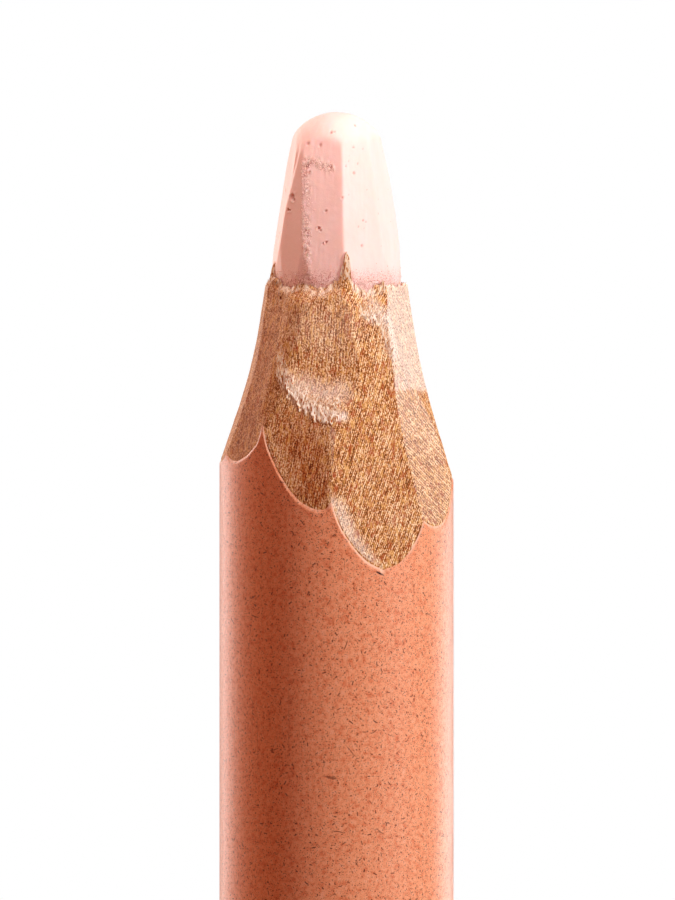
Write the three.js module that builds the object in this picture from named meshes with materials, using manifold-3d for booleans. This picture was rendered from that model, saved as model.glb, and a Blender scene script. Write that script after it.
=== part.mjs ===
// A round colour-pencil stub that was sharpened by hand with a knife: a thick pigment core glued
// between two grooved wooden half casings, with a coat of lacquer round the barrel.
// Millimetres, +Z up. The origin is the centre of the flat sawn end, and the worn point is on top.
// An azimuth of 0 degrees faces -Y, and it grows towards +X.

import * as THREE from "three";
import { mergeVertices, toCreasedNormals } from "three/addons/utils/BufferGeometryUtils.js";
import Module from "manifold-3d";

// Driving dimensions of the pencil.
const STUB_LENGTH = 45;
const BARREL_DIAMETER = 8;
const CORE_DIAMETER = 4.4;
const LACQUER_THICKNESS = 0.04;
const GLUE_LINE = 0.03; // adhesive film round the core and between the two half casings
const LACQUER_BED = 0.01; // primer film between the wood and the lacquer
const LACQUER_SET_BACK = 0.1; // the saw chips the lacquer back from the edge of the flat end

// Driving dimensions of the sharpened end, measured down from the tip.
const CORE_EXPOSED = 5.95; // where the wood begins
const TIP_ROUND_RADIUS = 1.9; // the point is worn to a blunt dome
const TIP_ROUND_HEIGHT = 2;

// Fineness of round faces and blended cuts.
const ROUND_SEGMENTS = 96;
const DOME_SEGMENTS = 7;
const BLEND_SEGMENTS = 7;
const CREASE_ANGLE = THREE.MathUtils.degToRad(12);

const CUT_MARGIN = 1; // how far a cutting solid reaches past the blank

const barrelRadius = BARREL_DIAMETER / 2;
const lacquerBoreRadius = barrelRadius - LACQUER_THICKNESS;
const casingRadius = lacquerBoreRadius - LACQUER_BED;
const coreRadius = CORE_DIAMETER / 2;
const grooveRadius = coreRadius + GLUE_LINE;

// Knife strokes. The blade enters the pencil at entryAngle to the axis, levels off at the depth
// levelsOff below the tip, and runs out over the point at runAngle. There it leaves woodLeft of
// casing over the core at the height where the wood begins, or bites into the core if that is
// negative. The blend is the half length of the curve between the two directions.

// Long strokes start on the lacquered barrel, and each leaves a scallop in the lacquer's edge.
const LONG_STROKES = [
  { azimuth: -84, levelsOff: 8.6, entryAngle: 19.3, runAngle: 8.5, blend: 1.5, woodLeft: 0.19 },
  { azimuth: -60, levelsOff: 6.6, entryAngle: 16.2, runAngle: 6, blend: 0.6, woodLeft: 0.15 },
  { azimuth: -7.5, levelsOff: 9.6, entryAngle: 13, runAngle: 8.5, blend: 1.5, woodLeft: 0.3 },
  { azimuth: 24.5, levelsOff: 10.98, entryAngle: 12.7, runAngle: 6.87, blend: 4.7, woodLeft: 0.125 },
  { azimuth: 58, levelsOff: 10.5, entryAngle: 14.8, runAngle: 8.5, blend: 1.5, woodLeft: 0.12 },
  { azimuth: 102, levelsOff: 9.5, entryAngle: 17, runAngle: 9, blend: 1.5, woodLeft: 0.15 },
  { azimuth: 136, levelsOff: 10.2, entryAngle: 14, runAngle: 8.5, blend: 2.5, woodLeft: 0.11 },
  { azimuth: 167, levelsOff: 9.2, entryAngle: 16.5, runAngle: 9.5, blend: 2, woodLeft: 0.14 },
  { azimuth: 205, levelsOff: 11.2, entryAngle: 13, runAngle: 8, blend: 4, woodLeft: 0.12 },
  { azimuth: 243, levelsOff: 9.6, entryAngle: 15.5, runAngle: 9, blend: 2, woodLeft: 0.13 },
];

// Scoops start on an earlier cut and end in a torn ledge where the chip broke out.
const SCOOPS = [
  { azimuth: 3, levelsOff: 9.25, entryAngle: 25, runAngle: 4.5, blend: 0.6, woodLeft: 0.22 },
  { azimuth: 65, levelsOff: 8.3, entryAngle: 15.1, runAngle: 8.3, blend: 1, woodLeft: 0.03 },
  { azimuth: 186, levelsOff: 8.1, entryAngle: 24, runAngle: 7.6, blend: 0.8, woodLeft: 0.02 },
];

// Short strokes over the core give the bare pigment its facets.
const CORE_STROKES = [
  { azimuth: -82, levelsOff: 5.7, entryAngle: 30, runAngle: 8.5, blend: 0.2, woodLeft: 0.06 },
  { azimuth: -47, levelsOff: 6, entryAngle: 45, runAngle: 5.2, blend: 0.1, woodLeft: 0.01 },
  { azimuth: -14, levelsOff: 6.05, entryAngle: 40, runAngle: 7.4, blend: 0.1, woodLeft: 0.01 },
  { azimuth: 27, levelsOff: 6.2, entryAngle: 17, runAngle: 7.4, blend: 0.2, woodLeft: 0.01 },
  { azimuth: 75, levelsOff: 5.9, entryAngle: 65, runAngle: 5, blend: 0.1, woodLeft: -0.01 },
  { azimuth: 88, levelsOff: 3.9, entryAngle: 20, runAngle: 13.2, blend: 0.2, woodLeft: 0.49 },
  { azimuth: 118, levelsOff: 6.1, entryAngle: 35, runAngle: 7.5, blend: 0.2, woodLeft: 0.01 },
  { azimuth: 156, levelsOff: 6, entryAngle: 40, runAngle: 6.6, blend: 0.2, woodLeft: -0.01 },
  { azimuth: 203, levelsOff: 6.2, entryAngle: 30, runAngle: 7.2, blend: 0.2, woodLeft: 0 },
  { azimuth: 240, levelsOff: 6, entryAngle: 45, runAngle: 6.2, blend: 0.2, woodLeft: 0.01 },
];

// Scrapes trim the points of wood that stand up between those facets.
const SCRAPES = [
  { azimuth: -64, levelsOff: 5.7, entryAngle: 60, runAngle: 2, blend: 0.1, woodLeft: 0.01 },
  { azimuth: -30, levelsOff: 5.85, entryAngle: 60, runAngle: 2, blend: 0.1, woodLeft: 0 },
  { azimuth: 54, levelsOff: 5.9, entryAngle: 60, runAngle: 2, blend: 0.1, woodLeft: 0 },
  { azimuth: 96, levelsOff: 5.8, entryAngle: 60, runAngle: 2, blend: 0.1, woodLeft: 0 },
  { azimuth: 137, levelsOff: 5.9, entryAngle: 60, runAngle: 2, blend: 0.1, woodLeft: 0 },
  { azimuth: 221, levelsOff: 5.8, entryAngle: 60, runAngle: 2, blend: 0.1, woodLeft: 0 },
];

const wasm = await Module();
wasm.setup();

// A closed three.js geometry as a solid that can be joined and cut.
function solidOf(geometry) {
  geometry.deleteAttribute("normal");
  geometry.deleteAttribute("uv");
  const merged = mergeVertices(geometry, 1e-5);
  return new wasm.Manifold(
    new wasm.Mesh({
      numProp: 3,
      vertProperties: merged.attributes.position.array,
      triVerts: new Uint32Array(merged.index.array),
    }),
  );
}

// A solid as a three.js geometry that is smooth round the barrel and crisp at the cuts.
function geometryOf(solid) {
  const mesh = solid.getMesh();
  const geometry = new THREE.BufferGeometry();
  geometry.setAttribute("position", new THREE.BufferAttribute(mesh.vertProperties, mesh.numProp));
  geometry.setIndex(new THREE.BufferAttribute(mesh.triVerts, 1));
  return toCreasedNormals(geometry, CREASE_ANGLE);
}

// A profile of (radius, height) points turned about +Z.
function turned(points) {
  return solidOf(new THREE.LatheGeometry(points, ROUND_SEGMENTS).rotateX(Math.PI / 2));
}

// A plain tube from the height bottom up to the tip.
function tube(innerRadius, outerRadius, bottom) {
  return turned([
    new THREE.Vector2(innerRadius, bottom),
    new THREE.Vector2(outerRadius, bottom),
    new THREE.Vector2(outerRadius, STUB_LENGTH),
    new THREE.Vector2(innerRadius, STUB_LENGTH),
    new THREE.Vector2(innerRadius, bottom),
  ]);
}

// All that one knife stroke takes off: the stroke's path, drawn as radius against height and
// carried straight across the pencil.
function strokeSolid({ azimuth, levelsOff, entryAngle, runAngle, blend, woodLeft }) {
  const entrySlope = Math.tan(THREE.MathUtils.degToRad(entryAngle));
  const runSlope = Math.tan(THREE.MathUtils.degToRad(runAngle));
  const cornerRadius = coreRadius + woodLeft + runSlope * (levelsOff - CORE_EXPOSED);
  const outside = barrelRadius + CUT_MARGIN;
  const heightAt = (belowTip) => STUB_LENGTH - belowTip;
  const top = heightAt(-CUT_MARGIN);

  const path = new THREE.Shape();
  path.moveTo(outside, heightAt(levelsOff + (outside - cornerRadius) / entrySlope));
  path.lineTo(cornerRadius + entrySlope * blend, heightAt(levelsOff + blend));
  path.quadraticCurveTo(
    cornerRadius,
    heightAt(levelsOff),
    cornerRadius - runSlope * blend,
    heightAt(levelsOff - blend),
  );
  path.lineTo(cornerRadius - runSlope * (levelsOff + CUT_MARGIN), top);
  path.lineTo(outside, top);

  const width = 2 * outside;
  const geometry = new THREE.ExtrudeGeometry(path, {
    depth: width,
    curveSegments: BLEND_SEGMENTS,
    bevelEnabled: false,
  });
  geometry.translate(0, 0, -width / 2);
  const turn = THREE.MathUtils.degToRad(azimuth);
  const outward = new THREE.Vector3(Math.sin(turn), -Math.cos(turn), 0);
  const up = new THREE.Vector3(0, 0, 1);
  const across = new THREE.Vector3().crossVectors(outward, up);
  geometry.applyMatrix4(new THREE.Matrix4().makeBasis(outward, up, across));
  return solidOf(geometry);
}

// Slivers that the knife sets free fall away, and the piece that is left is the largest one.
function withoutChips(solid) {
  return solid.decompose().reduce((kept, body) => (body.volume() > kept.volume() ? body : kept));
}

const knifeCuts = [...LONG_STROKES, ...SCOOPS, ...CORE_STROKES, ...SCRAPES]
  .map(strokeSolid)
  .reduce((joined, cut) => joined.add(cut));

function sharpened(blank) {
  return withoutChips(blank.subtract(knifeCuts));
}

// The core is a moulded rod whose point has worn round with use.
function coreBlank() {
  const domeFoot = STUB_LENGTH - TIP_ROUND_HEIGHT;
  const profile = new THREE.Path();
  profile.moveTo(0, 0);
  profile.lineTo(coreRadius, 0);
  profile.lineTo(coreRadius, domeFoot - TIP_ROUND_HEIGHT);
  profile.lineTo(TIP_ROUND_RADIUS, domeFoot);
  profile.absellipse(0, domeFoot, TIP_ROUND_RADIUS, TIP_ROUND_HEIGHT, 0, Math.PI / 2, false);
  const points = profile.getPoints(DOME_SEGMENTS);
  points.at(-1).x = 0;
  return turned(points);
}

// One of the two slats that are glued round the core. side is -1 for the front half at -Y, and +1
// for the back half.
function casingHalfBlank(side) {
  const reach = barrelRadius + CUT_MARGIN;
  const half = new THREE.BoxGeometry(2 * reach, reach, 2 * STUB_LENGTH + CUT_MARGIN);
  half.translate(0, (side * (reach + GLUE_LINE)) / 2, STUB_LENGTH / 2);
  return tube(grooveRadius, casingRadius, 0).intersect(solidOf(half));
}

function lacquerBlank() {
  return tube(lacquerBoreRadius, barrelRadius, LACQUER_SET_BACK);
}

// Finishes.
const pigment = new THREE.MeshStandardMaterial({ color: 0xf0c3b4, roughness: 0.75, metalness: 0 });
const bareWood = new THREE.MeshStandardMaterial({ color: 0xc8935f, roughness: 0.85, metalness: 0 });
const lacquer = new THREE.MeshStandardMaterial({ color: 0xc9683f, roughness: 0.4, metalness: 0 });

function piece(name, blank, material) {
  const mesh = new THREE.Mesh(geometryOf(sharpened(blank)), material);
  mesh.name = name;
  return mesh;
}

const pencilStub = new THREE.Group();
pencilStub.name = "pencil_stub";
pencilStub.add(
  piece("pigment_core", coreBlank(), pigment),
  piece("casing_half_front", casingHalfBlank(-1), bareWood),
  piece("casing_half_back", casingHalfBlank(1), bareWood),
  piece("lacquer_coat", lacquerBlank(), lacquer),
);

export default pencilStub;
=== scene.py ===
# %% [markdown]
# # A whittled colour-pencil stub
# This lesson dresses a small CAD model in Blender. The model is a round colour pencil that somebody
# sharpened with a knife: a thick core of pale pink pigment, a casing of two glued wooden slats, and a
# thin coat of coral lacquer. The CAD holds the exact sizes and every knife facet. Blender adds what a
# cut leaves behind: fibres, crumbs, pits, a ragged edge, flecks and scratches.

# %% Load the frame
import math

import bpy
import numpy as np
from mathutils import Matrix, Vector
from mathutils.bvhtree import BVHTree


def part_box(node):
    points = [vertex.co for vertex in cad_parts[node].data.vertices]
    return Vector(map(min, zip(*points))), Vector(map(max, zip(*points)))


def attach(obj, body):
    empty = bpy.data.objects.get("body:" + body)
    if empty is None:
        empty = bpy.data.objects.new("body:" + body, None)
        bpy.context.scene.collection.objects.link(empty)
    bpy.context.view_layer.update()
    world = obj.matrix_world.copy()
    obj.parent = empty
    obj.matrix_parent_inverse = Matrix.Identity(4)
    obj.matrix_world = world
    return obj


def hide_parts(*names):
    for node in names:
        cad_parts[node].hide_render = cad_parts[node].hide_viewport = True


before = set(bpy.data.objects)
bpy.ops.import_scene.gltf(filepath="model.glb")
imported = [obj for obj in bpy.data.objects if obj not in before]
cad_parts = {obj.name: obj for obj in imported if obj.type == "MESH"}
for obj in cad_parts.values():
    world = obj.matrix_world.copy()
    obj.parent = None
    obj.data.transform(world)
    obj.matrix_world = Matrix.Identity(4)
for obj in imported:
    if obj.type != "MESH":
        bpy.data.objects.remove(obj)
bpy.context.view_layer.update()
print("CAD nodes:", sorted(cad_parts))

# %% [markdown]
# ## Sizes from the CAD
# Blender works in metres. A pencil is easier to think of in millimetres, so the meshes are worked out in
# millimetres and scaled once, when they are made. Every size below is read from the CAD nodes, and a
# place on the pencil is given as an azimuth and a depth below the tip. An azimuth of 0 faces the camera
# (-Y), and it grows towards +X.

# %% Measure the CAD nodes
MM = 0.001


def corners(node):
    """Lowest and highest corner of a CAD node, in millimetres."""
    low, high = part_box(node)
    return np.array(low) / MM, np.array(high) / MM


core_high = corners("pigment_core")[1]
casing_high = corners("casing_half_front")[1]
lacquer_low, lacquer_high = corners("lacquer_coat")
stub_length = core_high[2]
core_radius = core_high[0]
casing_radius = casing_high[0]
barrel_radius = lacquer_high[0]
seam_gap = -2 * casing_high[1]
print(f"stub {stub_length:.2f} mm, barrel radius {barrel_radius:.2f} mm, core radius {core_radius:.2f} mm")

# %% [markdown]
# ## Reading a CAD surface with rays
# The CAD facets have the true form, but only a few large faces. To add relief we need many small faces
# in tidy rows and columns. One way is to remesh the CAD, which gives untidy triangles. The way used here
# is to shoot rays at the CAD from a grid of places and to note where they land. The grid then has the
# CAD's form to the micrometre, and its rows can follow the edges of the wood and the lacquer.

# %% Ray helpers
OUTSIDE = 3 * barrel_radius


def on_pencil(radius, azimuth, height):
    """Points at a radius, an azimuth in radians and a height, as an array of x, y, z."""
    x = radius * np.sin(azimuth)
    y = -radius * np.cos(azimuth)
    return np.stack(np.broadcast_arrays(x, y, height), axis=-1)


def full_turn(count):
    """Evenly spaced azimuths in radians, once round the pencil."""
    return np.arange(count) * 2 * math.pi / count


def rays_of(node):
    """A ray tree of a CAD node, in millimetres."""
    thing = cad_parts[node]
    places = [thing.matrix_world @ v.co / MM for v in thing.data.vertices]
    return BVHTree.FromPolygons(places, [tuple(p.vertices) for p in thing.data.polygons])


def radius_from_outside(rays, azimuth, height):
    """Radius of the first surface that a level ray meets on its way in to the axis."""
    start = Vector(on_pencil(OUTSIDE, azimuth, height))
    inwards = Vector((-math.sin(azimuth), math.cos(azimuth), 0))
    hit = rays.ray_cast(start, inwards, OUTSIDE)[0]
    return math.hypot(hit.x, hit.y)


def place_on(rays, azimuth, below):
    """The place on a surface at an azimuth in degrees and a depth below the tip."""
    turn = math.radians(azimuth)
    height = stub_length - below
    return np.array(on_pencil(radius_from_outside(rays, turn, height), turn, height))


def height_from_above(rays, azimuth, radius):
    """Height of the first surface that a ray meets on its way straight down."""
    start = Vector(on_pencil(radius, azimuth, stub_length + 1))
    return rays.ray_cast(start, Vector((0, 0, -1)))[0].z


def reach_from_axis(rays, height, azimuth, climb):
    """Distance from a place on the axis to the surface, along a ray that climbs by an angle."""
    level = math.cos(climb)
    towards = Vector((level * math.sin(azimuth), -level * math.cos(azimuth), math.sin(climb)))
    return rays.ray_cast(Vector((0, 0, height)), towards)[3]


core_rays = rays_of("pigment_core")
front_rays = rays_of("casing_half_front")
back_rays = rays_of("casing_half_back")
lacquer_rays = rays_of("lacquer_coat")
groove_radius = reach_from_axis(front_rays, stub_length / 4, 0, 0)
lacquer_bore = reach_from_axis(lacquer_rays, stub_length / 4, 0, 0)
print(f"groove radius {groove_radius:.3f} mm, lacquer bore radius {lacquer_bore:.3f} mm")

# %% [markdown]
# ## Noise for the relief
# Relief needs smooth random numbers that are the same on each run. Lattice noise gives every corner of a
# grid of cells a random number from a hash and blends between the corners. A cell can be long in one
# direction, which makes it look like fibres. It is read in space and not on the surface, so it has no
# seam round the back.

# %% Lattice noise
HASH_STEPS = np.array([374761393, 668265263, 1440662683])
HASH_SEED = 974634777
HASH_MIX = 1274126177


def lattice_noise(points, cell, seed):
    """Smooth noise from -1 to 1 at points in millimetres, with cells of the given size."""
    place = points / np.asarray(cell, float)
    corner = np.floor(place).astype(np.int64)
    part = place - corner
    ease = part * part * (3 - 2 * part)
    total = np.zeros(points.shape[:-1])
    for step in np.ndindex(2, 2, 2):
        mixed = (corner + step) @ HASH_STEPS + seed * HASH_SEED
        mixed = (mixed ^ (mixed >> 13)) * HASH_MIX
        value = ((mixed ^ (mixed >> 16)) & 0xFFFF) / 32767.5 - 1
        weight = np.prod(np.where(step, ease, 1 - ease), axis=-1)
        total += value * weight
    return total


def smooth_step(low, high, value):
    """0 below low, 1 above high, with an even curve between."""
    t = np.clip((value - low) / (high - low), 0, 1)
    return t * t * (3 - 2 * t)


def away_from(points, spot, across):
    """Distance from a spot, in units of half its width."""
    return np.linalg.norm(points - spot, axis=-1) / (across / 2)


def near_line(points, line, width):
    """1 on a line of listed points, fading to 0 at the given distance from it."""
    best = np.full(points.shape[:-1], np.inf)
    for a, b in zip(line[:-1], line[1:]):
        along = b - a
        t = np.clip((points - a) @ along / (along @ along), 0, 1)
        best = np.minimum(best, np.linalg.norm(points - (a + t[..., None] * along), axis=-1))
    return 1 - smooth_step(0, width, best)


# %% [markdown]
# ## From numbers to meshes
# The casing and the lacquer are built from columns. Each column is a closed loop of points at one azimuth,
# and neighbouring columns are joined by four-sided faces. The helper that makes a piece also stores
# numbers on the points, such as how torn the wood is, which the materials read later. It makes the piece
# ride on the pencil's one body and hides the CAD node that it replaces.

# %% Mesh helper
SHARP_EDGE = math.radians(50)


def make_piece(name, points, faces, replaced=None, marks=None):
    """A smooth mesh from points in millimetres. marks are numbers stored on the points."""
    mesh = bpy.data.meshes.new(name)
    mesh.from_pydata((points * MM).tolist(), [], faces)
    for mark, values in (marks or {}).items():
        numbers = np.asarray(values, np.float32).ravel()
        mesh.attributes.new(mark, "FLOAT", "POINT").data.foreach_set("value", numbers)
    mesh.shade_smooth()
    mesh.set_sharp_from_angle(angle=SHARP_EDGE)
    piece = bpy.data.objects.new(name, mesh)
    bpy.context.collection.objects.link(piece)
    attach(piece, "root")
    if replaced:
        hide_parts(replaced)
    print(f"{name}: {len(points)} points, {len(faces)} faces")
    return piece


def loop_faces(columns, rows, closed):
    """Faces between columns of closed loops. The first and last column are capped if not closed."""
    faces = []
    for c in range(columns if closed else columns - 1):
        here = c * rows
        there = (c + 1) % columns * rows
        for r in range(rows):
            up = (r + 1) % rows
            faces.append((here + r, there + r, there + up, here + up))
    if not closed:
        faces.append(tuple(range(rows)))
        faces.append(tuple((columns - 1) * rows + r for r in reversed(range(rows))))
    return faces


# %% [markdown]
# ## The pigment core
# The core is wax-bound pigment. The knife leaves flat facets in it, and drawing wears the tip round. The
# grid below has level rows up to the dome and then rows that fan over it, so that no face is stretched
# at the tip. The facets are softened a little, because this material is too weak to keep a sharp ridge.
# One ridge on the left was shaved off by a short extra cut, a plane through three places on the core.

# %% Core grid
CORE_COLUMNS = 340
DOME_CENTRE_BELOW_TIP = 2.3
CORE_BARE_ROWS = 120
CORE_DOME_ROWS = 62
CORE_LINE = 5.95
CORE_HIDDEN = 0.6

dome_centre = stub_length - DOME_CENTRE_BELOW_TIP
bare_from = stub_length - CORE_LINE - CORE_HIDDEN
core_azimuths = full_turn(CORE_COLUMNS)
core_heights = np.concatenate([
    [0, bare_from / 2],
    np.linspace(bare_from, dome_centre, CORE_BARE_ROWS, endpoint=False),
    np.full(CORE_DOME_ROWS, dome_centre),
])
core_climbs = np.zeros(len(core_heights))
core_climbs[-CORE_DOME_ROWS:] = np.linspace(0, math.pi / 2, CORE_DOME_ROWS, endpoint=False)
core_reach = np.array([
    [reach_from_axis(core_rays, h, a, c) for a in core_azimuths] for h, c in zip(core_heights, core_climbs)
])
print("core grid", core_reach.shape)

# %% Wear of the core
CHAMFER = [(-44, 1.45), (-70, 2.9), (-92, 2.0)]
CHAMFER_DEEPEST = 0.07
FACET_SOFTNESS = (0.8, 0.7)
DOME_SOFTNESS = (2.6, 2)


def softened(field, columns, rows):
    """The field blurred round the pencil and along it, by that many cells."""
    for axis, spread, mode in ((1, columns, "wrap"), (0, rows, "edge")):
        reach = int(3 * spread) + 1
        weights = np.exp(-0.5 * (np.arange(-reach, reach + 1) / spread) ** 2)
        weights /= weights.sum()
        padded = np.pad(field, [(reach, reach) if k == axis else (0, 0) for k in (0, 1)], mode=mode)
        places = np.arange(field.shape[axis])
        field = sum(w * np.take(padded, places + k, axis) for k, w in enumerate(weights))
    return field


def core_points(reach):
    """The core grid's points in millimetres for a grid of reaches."""
    level = reach * np.cos(core_climbs)[:, None]
    height = core_heights[:, None] + reach * np.sin(core_climbs)[:, None]
    return on_pencil(level, core_azimuths[None, :], height)


corner_a, corner_b, corner_c = (place_on(core_rays, *stop) for stop in CHAMFER)
cut_normal = np.cross(corner_c - corner_a, corner_b - corner_a)
cut_normal *= np.sign(cut_normal @ corner_a) / np.linalg.norm(cut_normal)
proud = (core_points(core_reach) - corner_a) @ cut_normal
below_dome = smooth_step(1.2, 0.6, core_climbs)[:, None]
core_reach = core_reach - np.clip(proud, 0, CHAMFER_DEEPEST) * below_dome
dome_share = smooth_step(0.3, 0.8, core_climbs)[:, None]
soft_facets = softened(core_reach, *FACET_SOFTNESS)
soft_dome = softened(core_reach, *DOME_SOFTNESS)
core_reach = (1 - dome_share) * soft_facets + dome_share * soft_dome
print(f"chamfer on the left ridge up to {min(proud.max(), CHAMFER_DEEPEST):.3f} mm deep")

# %% [markdown]
# Three kinds of damage show on the core. The knife skipped along one ridge and left a crumbly band.
# Where it stopped at the wood it crushed the pigment to crumbs. And there are pits, some single and some
# in small groups, where a grain of filler broke out.

# %% Core relief
CRUMBLE_RIDGE = [(-36, 1.7), (-33.5, 2.7), (-31, 3.8), (-28.5, 4.9), (-27, 5.9)]
CRUMBLE_PATCH = [(-33, 1.75), (-20, 1.8), (-8, 1.95)]
RIDGE_WIDTH = 0.24
PATCH_WIDTH = 0.30
GRAIN_RELIEF = 0.0022
STROKE_RELIEF = 0.0025
CRUMB_RELIEF = 0.022
CRUMB_LIFT = 0.006
CORE_SEED = 11


def core_noise(cell, number):
    """Noise on the core's surface. Each number gives another one."""
    return lattice_noise(spots, cell, CORE_SEED + number)


spots = core_points(core_reach)
below_tip = stub_length - spots[..., 2]
bare = smooth_step(CORE_LINE + 0.5, CORE_LINE + 0.2, below_tip)
ridge = near_line(spots, [place_on(core_rays, *p) for p in CRUMBLE_RIDGE], RIDGE_WIDTH)
patch = near_line(spots, [place_on(core_rays, *p) for p in CRUMBLE_PATCH], PATCH_WIDTH)
band = np.maximum(ridge, patch) * smooth_step(-0.9, -0.1, core_noise((0.2, 0.2, 0.35), 1))
foot = smooth_step(0.55, 0.0, CORE_LINE - below_tip) * smooth_step(-0.3, 0.6, core_noise((0.5, 0.5, 0.4), 0))
crumble = np.clip(band + 0.8 * foot, 0, 1)
grain = 0.5 * core_noise(0.05, 2) + core_noise(0.16, 3)
stroke = core_noise((0.07, 0.07, 4), 4)
crumbs = core_noise(0.075, 5) + 0.6 * core_noise(0.04, 6)
relief = GRAIN_RELIEF * grain + STROKE_RELIEF * stroke + crumble * (CRUMB_RELIEF * crumbs + CRUMB_LIFT)
print(f"crumbled share of the core grid: {crumble.mean():.3f}")

# %% Pits in the core
# Azimuth, depth below the tip, width and depth of each pit.
PITS = [
    (-7, 0.72, 0.12, 0.03), (-3, 0.70, 0.10, 0.03), (31, 0.48, 0.11, 0.03), (-35, 1.09, 0.16, 0.02),
    (-20, 1.16, 0.13, 0.02), (21, 1.23, 0.10, 0.02), (-34, 1.88, 0.13, 0.05), (-31, 2.08, 0.09, 0.04),
    (-7, 1.91, 0.13, 0.04), (-51, 2.90, 0.22, 0.04), (-49, 3.02, 0.14, 0.05), (-56, 3.35, 0.12, 0.05),
    (-53, 3.38, 0.10, 0.04), (-11, 3.42, 0.09, 0.03), (-18, 4.00, 0.12, 0.05), (-16, 4.08, 0.08, 0.04),
    (-10, 4.48, 0.10, 0.04), (-13, 4.52, 0.07, 0.03), (6, 2.97, 0.10, 0.03), (20, 2.12, 0.13, 0.02),
    (28, 3.73, 0.10, 0.01), (25, 4.60, 0.11, 0.02), (150, 2.6, 0.16, 0.05), (170, 3.4, 0.12, 0.04),
    (205, 2.2, 0.18, 0.05), (98, 3.1, 0.11, 0.04), (255, 4.1, 0.13, 0.05), (282, 2.7, 0.12, 0.04),
]
SMALL_PITS = 60
SMALL_PIT_DEEP = 0.02
PIT_RIM = 0.22

random = np.random.default_rng(CORE_SEED)
pit_list = list(PITS)
for _ in range(SMALL_PITS):
    pit_list.append((
        random.uniform(0, 360), random.uniform(1.2, 5.8), random.uniform(0.03, 0.07), SMALL_PIT_DEEP))
pitted = np.zeros(core_reach.shape)
for azimuth, depth_below, across, deep in pit_list:
    away = away_from(spots, place_on(core_rays, azimuth, depth_below), across)
    wobble = 1 + 0.35 * core_noise(across / 3, 7)
    hollow = smooth_step(1.2, 0.4, away * wobble)
    rim = np.exp(-((away * wobble - 1.35) / 0.35) ** 2)
    relief += deep * (PIT_RIM * rim - hollow)
    pitted = np.maximum(pitted, hollow)
core_reach = core_reach + relief * bare
print(f"core relief from {relief.min():.3f} to {relief.max():.3f} mm")

# %% Core mesh
ring_points = core_points(core_reach).reshape(-1, 3)
tip_reach = reach_from_axis(core_rays, dome_centre, 0, math.pi / 2)
end_points = np.array([[0, 0, dome_centre + tip_reach], [0, 0, 0]])
tip_index = len(ring_points)
top_row = tip_index - CORE_COLUMNS
here = np.arange(CORE_COLUMNS)
beside = np.roll(here, -1)
core_faces = []
for base in range(0, top_row, CORE_COLUMNS):
    above = base + CORE_COLUMNS
    core_faces += np.stack([base + here, base + beside, above + beside, above + here], axis=1).tolist()
for a, b in zip(here.tolist(), beside.tolist()):
    core_faces.append((top_row + a, top_row + b, tip_index))
    core_faces.append((b, a, tip_index + 1))


def with_ends(field):
    """A grid of numbers as one list, with zeros for the tip and the foot."""
    return np.concatenate([field.ravel(), [0, 0]])


core_dust = smooth_step(0.75, 0.1, CORE_LINE - below_tip)
core = make_piece(
    "core_of_pigment",
    np.concatenate([ring_points, end_points]),
    core_faces,
    "pigment_core",
    {"crumble": with_ends(crumble), "pit": with_ends(pitted), "dust": with_ends(core_dust)},
)

# %% [markdown]
# The crumbs themselves lie on the band and along the wood. Each one is a small eight-sided lump, pushed
# a little way into the core, so that it sits there and doesn't hover.

# %% Shape of a crumb
CRUMB_PROUD = 0.1
LUMP = np.array([[1, 0, 0], [-1, 0, 0], [0, 1, 0], [0, -1, 0], [0, 0, 1], [0, 0, -1]], float)
LUMP_FACES = [(0, 2, 4), (2, 1, 4), (1, 3, 4), (3, 0, 4), (2, 0, 5), (1, 2, 5), (3, 1, 5), (0, 3, 5)]

crumb_points = []
crumb_faces = []
crumb_dust = []


def add_crumb(azimuth, below, size, dust):
    """Puts one lump of about this size on the core."""
    out = on_pencil(1.0, math.radians(azimuth), 0.0)
    centre = place_on(core_rays, azimuth, below) + CRUMB_PROUD * size * out
    turn = np.linalg.qr(random.normal(size=(3, 3)))[0]
    turn[:, 0] *= np.sign(np.linalg.det(turn))
    start = len(LUMP) * len(crumb_dust)
    lump = LUMP * random.uniform(0.3, 0.65, (len(LUMP), 1)) * size
    crumb_points.append(centre + lump @ turn.T)
    crumb_faces.extend(tuple(start + k for k in face) for face in LUMP_FACES)
    crumb_dust.append(dust)


print(f"a crumb has {len(LUMP)} points and {len(LUMP_FACES)} faces")

# %% Crumbs on the core
BAND_CRUMBS = 420
FOOT_CRUMBS = 900
CRUMB_SIZES = (0.015, 0.05)
CRUMB_CRUMBLE = 0.7
BAND_SPREAD_DEGREES = 3.0
BAND_SPREAD = 0.06
FOOT_SPREAD = 0.28


def random_stop(line):
    """A random azimuth and depth on a line."""
    stops = np.array(line, float)
    t = random.uniform(0, len(stops) - 1)
    k = min(int(t), len(stops) - 2)
    return stops[k] + (t - k) * (stops[k + 1] - stops[k])


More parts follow.
